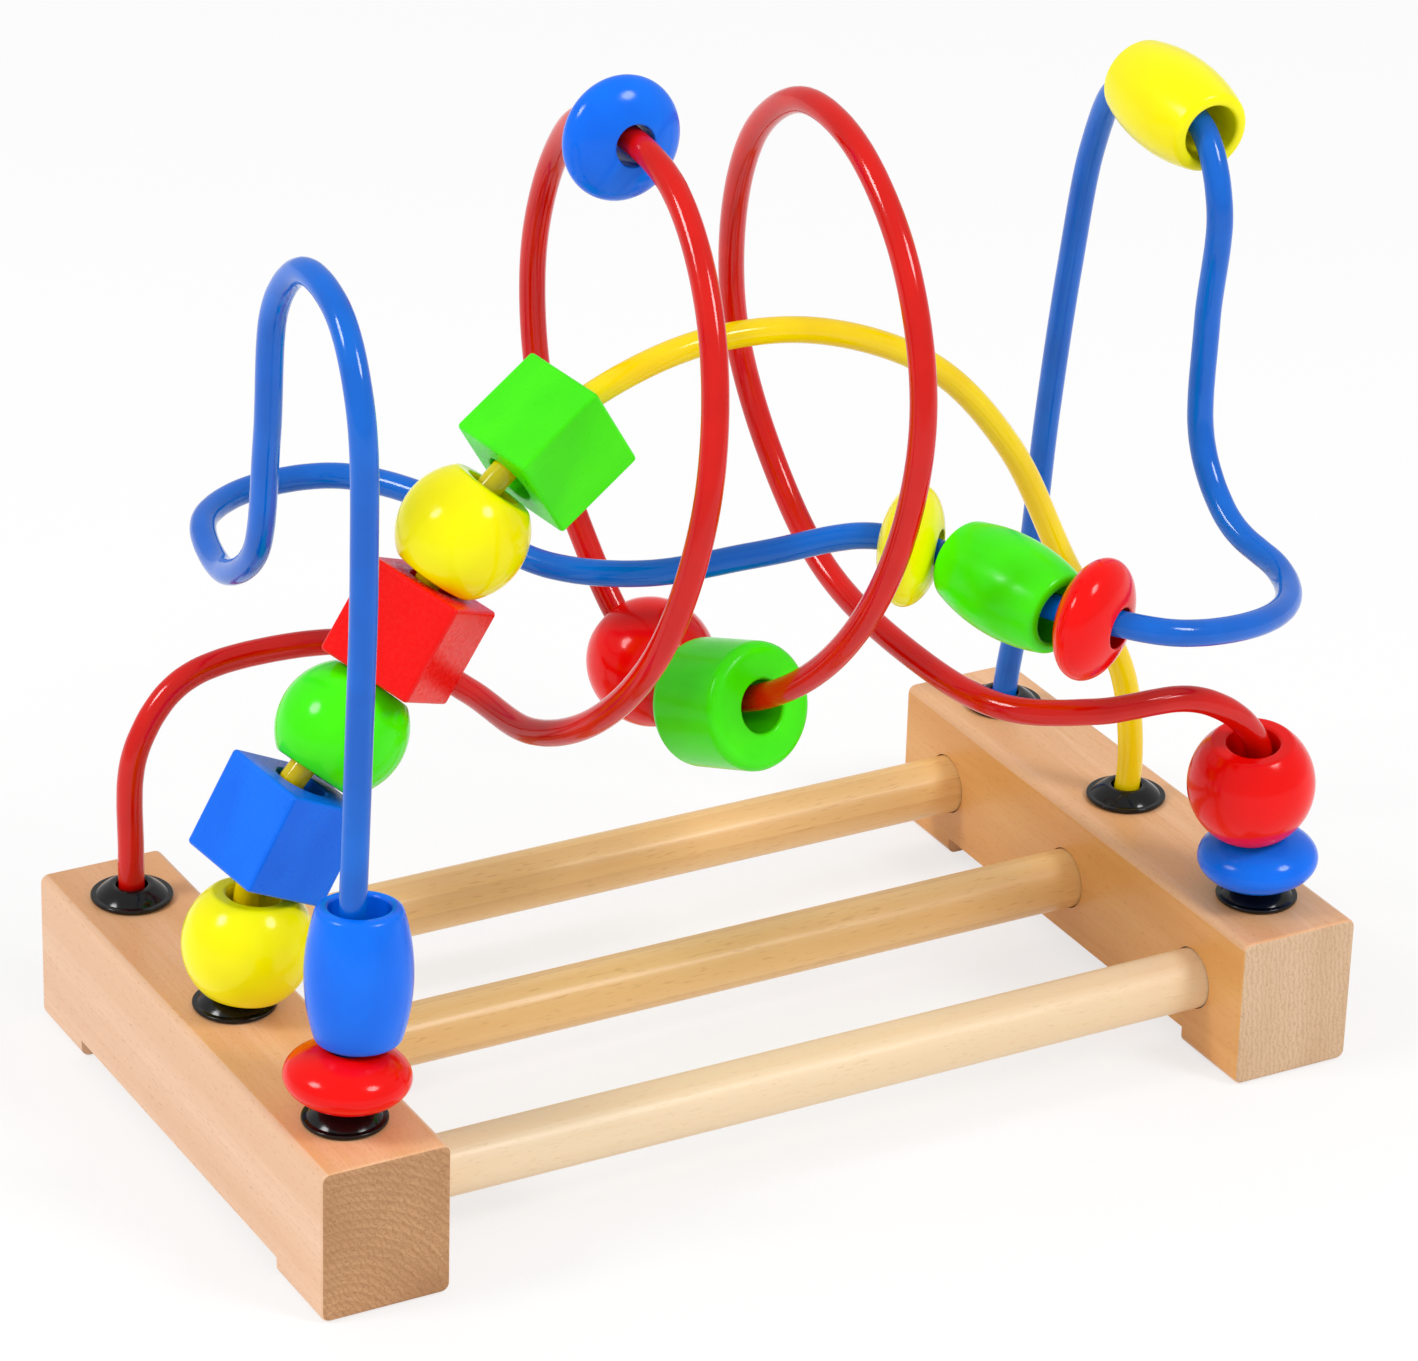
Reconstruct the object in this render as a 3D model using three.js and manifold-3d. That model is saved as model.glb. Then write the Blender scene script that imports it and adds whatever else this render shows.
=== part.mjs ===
// Wooden bead maze: two end blocks joined by three dowels, three bent wires and seventeen beads.
// Millimetres. X runs along the dowels, Y along the blocks, Z up, and the feet stand on z = 0.
import * as THREE from 'three';
import { mergeVertices } from 'three/addons/utils/BufferGeometryUtils.js';
import Module from 'manifold-3d';

const wasm = await Module();
wasm.setup();

// Base
const blockGap = 193.5;
const blockWidth = 29.3;
const blockLength = 145.5;
const blockHeight = 35;
const blockRound = 2;
const blockEndRound = 0.8;
const footLength = 22;
const notchHeight = 4;
const dowelRadius = 6.8;
const dowelRowInset = 19.75;
const dowelHeight = 17.6;
const dowelDepth = 8;
const dowelChamfer = 0.8;

// Wires and the caps they stand in
const wireRadius = 2.9;
const holeOutset = 0.6;
const wireRowInset = 18.75;
const wireDepth = 15;
const yellowRise = 133;
const redRise = 182;
const blueRise = 171;
const capRadius = 9.1;
const capHeight = 3.2;
const capRimHeight = 0.9;
const capMouthRadius = 4.8;
const capStemRadius = 5.6;
const capStemLength = 6;
const capBoreSlack = 0.55;

// Beads
const boreRadius = 5.8;
const boreGap = 0.3;
const ballRadius = 14.15;
const ballFlatRadius = 8.9;
const ballLength = 22.6;
const discRadius = 13.4;
const discFlatRadius = 4.9;
const discBoreRadius = 4.5;
const discThickness = 12.6;
const barrelRadius = 11.3;
const barrelEndRadius = 8.85;
const barrelBoreRadius = 6.4;
const barrelLength = 30;
const barrelRim = 1.2;
const drumRadius = 14.1;
const drumLength = 21.8;
const drumRim = 2.7;
const cubeEdge = 22.7;
const cubeRound = 1.1;

// Fits
const gap = 0.3;
const overrun = 1;
const mergeDistance = 0.0005;

// Facets
const wireSides = 8;
const wireStep = 5.5;
const beadSides = 20;
const capSides = 16;
const dowelSides = 18;
const cornerSteps = 2;
const ballSteps = 8;
const barrelSteps = 6;
const rimSteps = 2;
const domeSteps = 3;
const fineDivisions = 1600;
const seatPasses = 5;
const seatSteps = 12;
const slipSteps = 40;
const leanSteps = 20;
const triangleCorners = 3;

// Turns
const halfShare = 0.5;
const quarterTurn = Math.PI * halfShare;
const fullTurn = Math.PI + Math.PI;
const wholeShare = 1;
// How far past its bead a slanting wire still counts, as a share of the wire's radius.
const reachShare = 0.25;
// Sides of the base and rows across it.
const leftSide = -1;
const rightSide = 1;
const nearRow = -1;
const midRow = 0;
const farRow = 1;
// A wire steeper than this share of upright has its side along Y.
const steepShare = 0.995;

const wireSpan = (blockGap + blockWidth) * halfShare;
const holeSpan = wireSpan + holeOutset;
const baseTop = blockHeight;
const capTop = wireDepth + gap + capHeight + gap;
const dowelPitch = blockLength * halfShare - dowelRowInset;
const wireRowPitch = blockLength * halfShare - wireRowInset;

// Routes of the wires, from the left end to the right one. X is a share of half the wire span, Y of the
// pitch of the wire rows and Z of the wire's rise above the blocks.
const yellowShares = [
  [-1, 0, 0],
  [-1, 0, 0.085],
  [-0.93, 0, 0.32],
  [-0.79, 0, 0.465],
  [-0.65, 0, 0.61],
  [-0.535, 0, 0.765],
  [-0.37, 0, 0.89],
  [-0.195, 0, 0.965],
  [0, 0, 1],
  [0.235, 0, 0.98],
  [0.49, 0, 0.88],
  [0.675, 0, 0.71],
  [0.825, 0, 0.47],
  [0.975, 0, 0.25],
  [1.01, 0, 0.085],
  [1, 0, 0],
];
const redShares = [
  [-1, 1, 0],
  [-1.005, 1.005, 0.06],
  [-0.99, 1.015, 0.19],
  [-0.89, 1.025, 0.27],
  [-0.685, 0.985, 0.295],
  [-0.505, 0.795, 0.3],
  [-0.425, 0.38, 0.285],
  [-0.41, -0.13, 0.295],
  [-0.38, -0.59, 0.37],
  [-0.34, -0.935, 0.505],
  [-0.27, -0.98, 0.685],
  [-0.21, -0.73, 0.86],
  [-0.185, -0.295, 0.975],
  [-0.2, 0.27, 0.995],
  [-0.165, 0.705, 0.905],
  [-0.145, 0.965, 0.745],
  [-0.125, 0.96, 0.57],
  [-0.09, 0.74, 0.414],
  [-0.042, 0.385, 0.291],
  [0.008, -0.165, 0.289],
  [0.072, -0.63, 0.375],
  [0.126, -0.955, 0.532],
  [0.17, -1.01, 0.72],
  [0.185, -0.79, 0.885],
  [0.19, -0.39, 0.985],
  [0.2, 0.055, 1],
  [0.22, 0.49, 0.925],
  [0.265, 0.835, 0.775],
  [0.32, 0.985, 0.6],
  [0.365, 0.835, 0.45],
  [0.39, 0.45, 0.34],
  [0.42, -0.135, 0.295],
  [0.48, -0.695, 0.285],
  [0.61, -0.945, 0.295],
  [0.82, -1.03, 0.295],
  [0.97, -1.015, 0.22],
  [1, -1, 0.06],
  [1, -1, 0],
];
const blueShares = [
  [-1, -1, 0],
  [-1, -1, 0.055],
  [-0.985, -0.975, 0.255],
  [-0.97, -0.965, 0.49],
  [-0.965, -0.985, 0.725],
  [-0.965, -0.955, 0.91],
  [-0.95, -0.715, 1],
  [-0.94, -0.38, 1.015],
  [-0.93, -0.075, 0.935],
  [-0.915, 0.075, 0.745],
  [-0.895, 0.27, 0.57],
  [-0.875, 0.66, 0.49],
  [-0.81, 1.14, 0.49],
  [-0.665, 1.335, 0.49],
  [-0.495, 1.265, 0.495],
  [-0.365, 0.895, 0.49],
  [-0.265, 0.425, 0.455],
  [-0.115, 0.11, 0.46],
  [0.09, -0.11, 0.49],
  [0.26, -0.355, 0.525],
  [0.37, -0.665, 0.517],
  [0.42, -0.995, 0.505],
  [0.47, -1.29, 0.512],
  [0.598, -1.495, 0.5],
  [0.78, -1.475, 0.484],
  [0.927, -1.28, 0.47],
  [0.995, -1.015, 0.47],
  [0.985, -0.68, 0.495],
  [0.985, -0.445, 0.575],
  [0.99, -0.405, 0.735],
  [0.985, -0.45, 0.9],
  [0.99, -0.275, 0.985],
  [0.975, -0.005, 1.005],
  [0.97, 0.265, 0.985],
  [0.985, 0.48, 0.885],
  [0.995, 0.64, 0.69],
  [1, 0.765, 0.455],
  [1.01, 0.87, 0.23],
  [1.01, 0.99, 0.055],
  [1, 1, 0],
];

// How each bead rests on its wire, all in shares. Along is the place of a bead that hangs free, as a share
// of the wire's length, and loose is the share of the loose room that a stacked bead keeps below it. A bead
// slips aside and up from the middle until its bore touches, its bore leans aside and up from the wire by
// shares of a quarter turn, and a cube is turned about its bore by a share of a whole turn.
const looseRoom = 1;
const restShares = {
  yellow_ball_low: { loose: 0.7, slip: [1, -0.3], lean: [0, 0.01] },
  blue_cube: { loose: 0.1, slip: [0.7, -0.7], lean: [0.01, -0.03], turn: 0.112 },
  green_ball: { slip: [0.25, -1], lean: [-0.07, -0.01] },
  red_cube: { slip: [0.7, -0.7], lean: [0.01, 0.035], turn: 0.185 },
  yellow_ball_high: { slip: [1, 0], lean: [0.035, 0.01] },
  green_cube: { slip: [0, -1], lean: [-0.065, 0], turn: 0.184 },
  red_disc_left: { loose: 0.25 },
  blue_barrel: { slip: [0.5, 0.85], lean: [0.015, -0.005] },
  blue_disc_right: { loose: 0.25 },
  red_ball_right: { slip: [0.7, -0.7], lean: [-0.065, 0.005] },
  yellow_disc: { along: 0.5365, slip: [-0.25, -0.95], lean: [-0.1, 0.02] },
  green_barrel: { along: 0.5622, slip: [-0.85, -0.5], lean: [0.045, -0.02] },
  red_disc_right: { slip: [-0.5, -0.85], lean: [0.1, -0.05] },
  yellow_barrel: { along: 0.7876, slip: [1, -0.2], lean: [0.045, -0.01] },
  blue_disc_top: { along: 0.3242, slip: [-0.7, -0.7], lean: [0.04, -0.075] },
  red_ball_middle: { along: 0.4862, slip: [0.7, -0.7], lean: [-0.015, -0.03] },
  green_drum: { slip: [0.5, -0.85] },
};

const woodTint = 0xe2c79c;
const dowelTint = 0xecd6b0;
const capTint = 0x0a0a0a;
const redTint = 0xe8140c;
const wireRedTint = 0xd01010;
const blueTint = 0x1668f0;
const yellowTint = 0xf8ee06;
const wireYellowTint = 0xf2c80a;
const greenTint = 0x4fdc0a;
const glossRoughness = 0.25;
const woodRoughness = 0.5;
const noMetal = 0;

const maze = new THREE.Group();
maze.name = 'bead_maze';

function place(name, geometry, tint, roughness) {
  const material = new THREE.MeshStandardMaterial({ color: tint, roughness, metalness: noMetal });
  const mesh = new THREE.Mesh(geometry, material);
  mesh.name = name;
  maze.add(mesh);
  return mesh;
}

// Shared corners are joined and triangles without area dropped, so each body closes.
function closed(geometry) {
  const bare = geometry.clone();
  bare.deleteAttribute('normal');
  bare.deleteAttribute('uv');
  const joined = mergeVertices(bare, mergeDistance);
  const corners = joined.getIndex().array;
  const kept = [];
  for (let first = 0; first < corners.length; first += triangleCorners) {
    const [a, b, c] = corners.slice(first, first + triangleCorners);
    if (a !== b && b !== c && c !== a) {
      kept.push(a, b, c);
    }
  }
  joined.setIndex(kept);
  joined.computeVertexNormals();
  return joined;
}

function toSolid(geometry) {
  const body = closed(geometry);
  const vertProperties = new Float32Array(body.getAttribute('position').array);
  const triVerts = new Uint32Array(body.getIndex().array);
  return new wasm.Manifold(new wasm.Mesh({ numProp: triangleCorners, vertProperties, triVerts }));
}

function fromSolid(solid) {
  const result = solid.getMesh();
  const geometry = new THREE.BufferGeometry();
  const points = new Float32Array(result.vertProperties);
  geometry.setAttribute('position', new THREE.BufferAttribute(points, triangleCorners));
  geometry.setIndex(Array.from(result.triVerts));
  geometry.computeVertexNormals();
  return geometry;
}

// Points of an arc about a centre, both ends included.
function arc(centreX, centreY, radiusX, radiusY, start, end, steps) {
  const points = [];
  for (let step = 0; step <= steps; step += 1) {
    const angle = start + (end - start) * step / steps;
    const x = centreX + radiusX * Math.cos(angle);
    points.push(new THREE.Vector2(x, centreY + radiusY * Math.sin(angle)));
  }
  return points;
}

function roundedOutline(width, height, round) {
  const reachX = width * halfShare - round;
  const reachY = height * halfShare - round;
  return [
    ...arc(reachX, reachY, round, round, 0, quarterTurn, cornerSteps),
    ...arc(-reachX, reachY, round, round, quarterTurn, Math.PI, cornerSteps),
    ...arc(-reachX, -reachY, round, round, Math.PI, Math.PI + quarterTurn, cornerSteps),
    ...arc(reachX, -reachY, round, round, -quarterTurn, 0, cornerSteps),
  ];
}

// A block is extruded along Y with its end edges eased, then notched and drilled.
function endBlock(side) {
  const shape = new THREE.Shape(roundedOutline(blockWidth, blockHeight, blockRound));
  const bar = new THREE.ExtrudeGeometry(shape, {
    depth: blockLength - blockEndRound - blockEndRound,
    bevelThickness: blockEndRound,
    bevelSize: blockEndRound,
    bevelOffset: -blockEndRound,
    bevelSegments: rimSteps,
  });
  bar.translate(0, 0, blockEndRound - blockLength * halfShare);
  bar.rotateX(quarterTurn);
  bar.translate(side * wireSpan, 0, blockHeight * halfShare);
  let solid = toSolid(bar);

  const notchLength = blockLength - footLength - footLength;
  const notch = new THREE.BoxGeometry(blockWidth + overrun, notchLength, notchHeight + notchHeight);
  notch.translate(side * wireSpan, 0, 0);
  solid = solid.subtract(toSolid(notch));

  for (const row of [-dowelPitch, 0, dowelPitch]) {
    const socketLength = dowelDepth + gap + overrun;
    const socketRadius = dowelRadius + gap;
    const socket = new THREE.CylinderGeometry(socketRadius, socketRadius, socketLength, dowelSides);
    socket.rotateZ(quarterTurn);
    const middle = blockGap * halfShare + dowelDepth + gap - socketLength * halfShare;
    socket.translate(side * middle, row, dowelHeight);
    solid = solid.subtract(toSolid(socket));
  }
  for (const row of [-wireRowPitch, 0, wireRowPitch]) {
    const wireHole = wireRadius + capBoreSlack;
    const stemHole = capStemRadius + gap;
    const wireFloor = baseTop - wireDepth - gap;
    const stemFloor = baseTop - capStemLength - gap;
    const drill = new THREE.LatheGeometry([
      new THREE.Vector2(0, wireFloor),
      new THREE.Vector2(wireHole, wireFloor),
      new THREE.Vector2(wireHole, stemFloor),
      new THREE.Vector2(stemHole, stemFloor),
      new THREE.Vector2(stemHole, baseTop + overrun),
      new THREE.Vector2(0, baseTop + overrun),
    ], capSides);
    drill.rotateX(quarterTurn);
    drill.translate(side * holeSpan, row, 0);
    solid = solid.subtract(toSolid(drill));
  }
  return fromSolid(solid);
}

function dowel(row) {
  const reach = blockGap * halfShare + dowelDepth;
  const tip = dowelRadius - dowelChamfer;
  const rod = new THREE.LatheGeometry([
    new THREE.Vector2(0, -reach),
    new THREE.Vector2(tip, -reach),
    new THREE.Vector2(dowelRadius, dowelChamfer - reach),
    new THREE.Vector2(dowelRadius, reach - dowelChamfer),
    new THREE.Vector2(tip, reach),
    new THREE.Vector2(0, reach),
  ], dowelSides);
  rod.rotateZ(quarterTurn);
  rod.translate(0, row, dowelHeight);
  return closed(rod);
}

// The cap's profile: up the stem, under and over the dome, and back down the bore.
function cap(side, row) {
  const bore = wireRadius + capBoreSlack;
  const dome = arc(capMouthRadius, capRimHeight, capRadius - capMouthRadius, capHeight - capRimHeight,
    0, quarterTurn, domeSteps);
  const profile = [
    new THREE.Vector2(bore, -capStemLength),
    new THREE.Vector2(capStemRadius, -capStemLength),
    new THREE.Vector2(capStemRadius, 0),
    new THREE.Vector2(capRadius, 0),
    ...dome,
    new THREE.Vector2(bore, capHeight),
    new THREE.Vector2(bore, -capStemLength),
  ];
  const piece = new THREE.LatheGeometry(profile, capSides);
  piece.rotateX(quarterTurn);
  piece.translate(side * holeSpan, row, baseTop + gap);
  return closed(piece);
}

// A wire's route is a smooth curve through its table, with straight ends down in the blocks.
function wireRoute(shares, rise) {
  const points = shares.map(([along, across, up]) => new THREE.Vector3(
    along * wireSpan, across * wireRowPitch, baseTop + up * rise));
  const mouths = points.filter((point) => point.z <= baseTop);
  for (const mouth of mouths) {
    mouth.x = Math.sign(mouth.x) * holeSpan;
  }
  const [start, finish] = mouths.map((mouth) => mouth.clone().setZ(baseTop - wireDepth));
  const route = new THREE.CatmullRomCurve3([start, ...points, finish], false, 'centripetal');
  route.arcLengthDivisions = fineDivisions;
  return route;
}

function wireBody(route) {
  const ring = arc(0, 0, wireRadius, wireRadius, 0, fullTurn, wireSides);
  ring.pop();
  const steps = Math.round(route.getLength() / wireStep);
  return closed(new THREE.ExtrudeGeometry(new THREE.Shape(ring), { steps, extrudePath: route }));
}

// A round bead: the outline runs up its outside, and the bore closes it.
function turned(outline, halfLength, bore) {
  const [first] = outline;
  const profile = [
    ...outline,
    new THREE.Vector2(bore, halfLength),
    new THREE.Vector2(bore, -halfLength),
    first,
  ];
  return closed(new THREE.LatheGeometry(profile, beadSides));
}

// A ball, or a flattened ball, ends in a flat ring about its bore.
function ball(radius, flatRadius, length, bore) {
  const halfLength = length * halfShare;
  const end = Math.acos(flatRadius / radius);
  const depth = halfLength / Math.sin(end);
  const outline = arc(0, 0, radius, depth, -end, end, ballSteps);
  return { halfLength, bore, faceRadius: flatRadius, geometry: turned(outline, halfLength, bore) };
}

function barrel() {
  const halfLength = barrelLength * halfShare;
  const waist = halfLength - barrelRim;
  const bulge = barrelRadius - barrelEndRadius;
  const side = [];
  for (let step = 0; step <= barrelSteps; step += 1) {
    const height = waist * (step + step - barrelSteps) / barrelSteps;
    const share = height / halfLength;
    side.push(new THREE.Vector2(barrelRadius - bulge * share * share, height));
  }
  const bore = barrelBoreRadius;
  const faceRadius = barrelEndRadius - barrelRim;
  const low = new THREE.Vector2(faceRadius, -halfLength);
  const high = new THREE.Vector2(faceRadius, halfLength);
  return { halfLength, bore, faceRadius, geometry: turned([low, ...side, high], halfLength, bore) };
}

function drum() {
  const halfLength = drumLength * halfShare;
  const bore = boreRadius;
  const inner = drumRadius - drumRim;
  const shoulder = halfLength - drumRim;
  const outline = [
    ...arc(inner, -shoulder, drumRim, drumRim, -quarterTurn, 0, rimSteps),
    ...arc(inner, shoulder, drumRim, drumRim, 0, quarterTurn, rimSteps),
  ];
  return { halfLength, bore, faceRadius: inner, geometry: turned(outline, halfLength, bore) };
}

function cube() {
  const halfLength = cubeEdge * halfShare;
  const bore = boreRadius;
  const shape = new THREE.Shape(roundedOutline(cubeEdge, cubeEdge, cubeRound));
  const ring = arc(0, 0, bore, bore, 0, fullTurn, beadSides);
  ring.pop();
  shape.holes.push(new THREE.Path(ring));
  const body = new THREE.ExtrudeGeometry(shape, {
    depth: cubeEdge - cubeRound - cubeRound,
    bevelThickness: cubeRound,
    bevelSize: cubeRound,
    bevelOffset: -cubeRound,
    bevelSegments: rimSteps,
  });
  body.translate(0, 0, cubeRound - halfLength);
  body.rotateX(-quarterTurn);
  return { halfLength, bore, faceRadius: halfLength - cubeRound, geometry: closed(body) };
}

// The furthest that the wire runs from a bore's middle line.
function runOut(line, centre, axis) {
  let most = 0;
  for (const point of line) {
    const offset = point.clone().sub(centre);
    offset.addScaledVector(axis, -offset.dot(axis));
    most = Math.max(most, offset.length());
  }
  return most;
}

// Where a bead sits whose middle is at a distance along the wire. Its bore starts along the chord, leans
// as far as the wire lets it and then slips aside until the wire touches.
function seatAt(route, distance, bead, { slip = [0, 0], lean = [0, 0] }) {
  const length = route.getLength();
  const reach = bead.halfLength + wireRadius * reachShare;
  const line = [];
  for (let step = 0; step <= seatSteps; step += 1) {
    const along = reach * (step + step - seatSteps) / seatSteps;
    line.push(route.getPointAt((distance + along) / length));
  }
  const [low] = line;
  const [high] = line.slice().reverse();
  const chord = high.clone().sub(low).normalize();
  const start = low.clone().add(high).multiplyScalar(halfShare);
  start.lerp(route.getPointAt(distance / length), halfShare);
  const side = new THREE.Vector3(chord.y, -chord.x, 0);
  if (Math.abs(chord.z) > steepShare) {
    side.set(0, wholeShare, 0);
  }
  side.addScaledVector(chord, -side.dot(chord)).normalize();
  const lift = side.clone().cross(chord);
  const room = bead.bore * Math.cos(Math.PI / beadSides) - wireRadius - boreGap;
  const [leanSide, leanLift] = lean;
  const axis = chord.clone();
  for (let step = 1; step <= leanSteps; step += 1) {
    const angle = quarterTurn * step / leanSteps;
    const tried = chord.clone().addScaledVector(side, Math.tan(leanSide * angle));
    tried.addScaledVector(lift, Math.tan(leanLift * angle)).normalize();
    if (runOut(line, start, tried) <= room) {
      axis.copy(tried);
    }
  }
  const [slipSide, slipLift] = slip;
  const way = side.clone().multiplyScalar(slipSide).addScaledVector(lift, slipLift).normalize();
  const centre = start.clone();
  for (let step = 1; step <= slipSteps; step += 1) {
    const tried = start.clone().addScaledVector(way, (room + room) * step / slipSteps);
    if (runOut(line, tried, axis) <= room) {
      centre.copy(tried);
    }
  }
  return { centre, axis };
}

// Room between the facing ends of two beads that follow each other on a wire.
function endRoom(before, beforeBead, after, afterBead) {
  const between = before.axis.clone().add(after.axis).normalize();
  const face = before.centre.clone().addScaledVector(before.axis, beforeBead.halfLength);
  const facing = after.centre.clone().addScaledVector(after.axis, -afterBead.halfLength);
  const rim = Math.min(beforeBead.faceRadius, afterBead.faceRadius);
  return facing.sub(face).dot(between) - rim * before.axis.angleTo(after.axis);
}

function addBead(name, bead, seat, tint) {
  const mesh = place(name, bead.geometry, tint, glossRoughness);
  const { turn = 0 } = restShares[name];
  const up = new THREE.Vector3(0, wholeShare, 0);
  mesh.quaternion.setFromUnitVectors(up, seat.axis);
  mesh.quaternion.multiply(new THREE.Quaternion().setFromAxisAngle(up, turn * fullTurn));
  mesh.position.copy(seat.centre);
}

// Beads that follow each other along a wire. The first hangs at its place or ends at the top of the cap.
function stack(route, pieces) {
  let before = null;
  let distance = capTop;
  for (const [name, bead, tint] of pieces) {
    const rest = restShares[name];
    const { along = 0, loose = 0 } = rest;
    const room = looseRoom * loose;
    distance += room + bead.halfLength;
    if (along > 0) {
      distance = along * route.getLength();
    }
    if (before) {
      distance += gap + before.bead.halfLength;
    }
    let seat = seatAt(route, distance, bead, rest);
    for (let pass = 0; before && pass < seatPasses; pass += 1) {
      distance += gap + room - endRoom(before.seat, before.bead, seat, bead);
      seat = seatAt(route, distance, bead, rest);
    }
    addBead(name, bead, seat, tint);
    before = { seat, bead };
  }
}

const yellowRoute = wireRoute(yellowShares, yellowRise);
const redRoute = wireRoute(redShares, redRise);
const blueRoute = wireRoute(blueShares, blueRise);
const redReturn = wireRoute(redShares.slice().reverse(), redRise);

place('left_block', endBlock(leftSide), woodTint, woodRoughness);
place('right_block', endBlock(rightSide), woodTint, woodRoughness);
const rows = [['near', nearRow], ['mid', midRow], ['far', farRow]];
for (const [rowName, row] of rows) {
  place(`dowel_${rowName}`, dowel(row * dowelPitch), dowelTint, woodRoughness);
}
for (const [sideName, side] of [['left', leftSide], ['right', rightSide]]) {
  for (const [rowName, row] of rows) {
    place(`grommet_${sideName}_${rowName}`, cap(side, row * wireRowPitch), capTint, glossRoughness);
  }
}
place('wire_yellow', wireBody(yellowRoute), wireYellowTint, glossRoughness);
place('wire_red', wireBody(redRoute), wireRedTint, glossRoughness);
place('wire_blue', wireBody(blueRoute), blueTint, glossRoughness);

const ballBead = () => ball(ballRadius, ballFlatRadius, ballLength, boreRadius);
const discBead = () => ball(discRadius, discFlatRadius, discThickness, discBoreRadius);

stack(yellowRoute, [
  ['yellow_ball_low', ballBead(), yellowTint],
  ['blue_cube', cube(), blueTint],
  ['green_ball', ballBead(), greenTint],
  ['red_cube', cube(), redTint],
  ['yellow_ball_high', ballBead(), yellowTint],
  ['green_cube', cube(), greenTint],
]);
stack(blueRoute, [
  ['red_disc_left', discBead(), redTint],
  ['blue_barrel', barrel(), blueTint],
]);
stack(redReturn, [
  ['blue_disc_right', discBead(), blueTint],
  ['red_ball_right', ballBead(), redTint],
]);
stack(blueRoute, [
  ['yellow_disc', discBead(), yellowTint],
]);
stack(blueRoute, [
  ['green_barrel', barrel(), greenTint],
  ['red_disc_right', discBead(), redTint],
]);
stack(blueRoute, [
  ['yellow_barrel', barrel(), yellowTint],
]);
stack(redRoute, [
  ['blue_disc_top', discBead(), blueTint],
]);
stack(redRoute, [
  ['red_ball_middle', ballBead(), redTint],
  ['green_drum', drum(), greenTint],
]);

// The origin is the middle of the whole outline, at floor level.
const outlineBox = new THREE.Box3().setFromObject(maze, true);
const shift = outlineBox.getCenter(new THREE.Vector3()).negate();
shift.z = -outlineBox.min.z;
for (const piece of maze.children) {
  piece.position.add(shift);
}
maze.updateMatrixWorld(true);

export default maze;
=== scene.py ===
import math

import bmesh
import bpy
import numpy as np
from mathutils import Matrix, Vector


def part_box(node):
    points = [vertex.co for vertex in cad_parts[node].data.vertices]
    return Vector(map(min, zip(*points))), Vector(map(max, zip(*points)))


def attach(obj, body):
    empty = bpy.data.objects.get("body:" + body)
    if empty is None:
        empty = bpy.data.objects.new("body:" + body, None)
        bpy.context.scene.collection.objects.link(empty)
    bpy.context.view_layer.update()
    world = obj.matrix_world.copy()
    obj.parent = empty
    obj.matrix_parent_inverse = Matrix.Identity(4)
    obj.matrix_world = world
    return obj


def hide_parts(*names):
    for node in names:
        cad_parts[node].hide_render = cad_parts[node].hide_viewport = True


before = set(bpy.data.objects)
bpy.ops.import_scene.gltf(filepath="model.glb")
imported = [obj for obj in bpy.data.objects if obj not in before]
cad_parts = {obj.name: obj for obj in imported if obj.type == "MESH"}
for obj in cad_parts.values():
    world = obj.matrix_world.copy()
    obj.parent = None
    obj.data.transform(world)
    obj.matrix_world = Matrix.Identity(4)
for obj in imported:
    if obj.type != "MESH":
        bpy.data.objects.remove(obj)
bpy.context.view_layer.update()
scene = bpy.context.scene
mm = 0.001
print("frame loaded:", len(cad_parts), "solids")


# camera: where the photograph was taken from
cameraLook = {
    "place": (-0.5628, -0.9898, 0.6403),
    "turn": (64.173, -1.586, -28.796),
    "lens": 148.55,
    "sensor": 36.0,
    "sideShift": 0.0001,
    "upShift": 0.0016,
    "farthest": 20,
}


def addCamera(look):
    data = bpy.data.cameras.new("photoCamera")
    data.lens = look["lens"]
    data.sensor_width = look["sensor"]
    data.sensor_fit = "HORIZONTAL"
    data.shift_x = look["sideShift"]
    data.shift_y = look["upShift"]
    data.clip_end = look["farthest"]
    camera = bpy.data.objects.new("photoCamera", data)
    camera.location = look["place"]
    camera.rotation_euler = [math.radians(angle) for angle in look["turn"]]
    scene.collection.objects.link(camera)
    scene.camera = camera


addCamera(cameraLook)
print("camera placed")


# steps that the materials are built from; a noise is read between one of these two pairs
midRange = (0.35, 0.65)
wideRange = (0.3, 0.7)


def tone(red, green, blue):
    # a display colour, 0 to 255, by the standard curve to the linear colour that the shader wants
    def linear(part):
        part = part / 255
        return part / 12.92 if part <= 0.04045 else ((part + 0.055) / 1.055) ** 2.4
    return (linear(red), linear(green), linear(blue), 1.0)


def startMaterial(name):
    material = bpy.data.materials.new(name)
    material.use_nodes = True
    return material, material.node_tree, material.node_tree.nodes["Principled BSDF"]


def addNode(tree, kind, sockets=None, **settings):
    node = tree.nodes.new(kind)
    for name, value in settings.items():
        setattr(node, name, value)
    for name, value in (sockets or {}).items():
        node.inputs[name].default_value = value
    return node


def patternPlace(tree, seat=None, stretch=(1, 1, 1)):
    # object coordinates, turned to lie along the piece, then stretched in 1/m
    spot = addNode(tree, "ShaderNodeTexCoord").outputs["Object"]
    if seat is not None:
        turn = addNode(tree, "ShaderNodeMapping", vector_type="TEXTURE")
        turn.inputs["Location"].default_value = seat.to_translation()
        turn.inputs["Rotation"].default_value = seat.to_euler()
        tree.links.new(spot, turn.inputs["Vector"])
        spot = turn.outputs["Vector"]
    scale = addNode(tree, "ShaderNodeMapping", {"Scale": stretch})
    tree.links.new(spot, scale.inputs["Vector"])
    return scale.outputs["Vector"]


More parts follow.
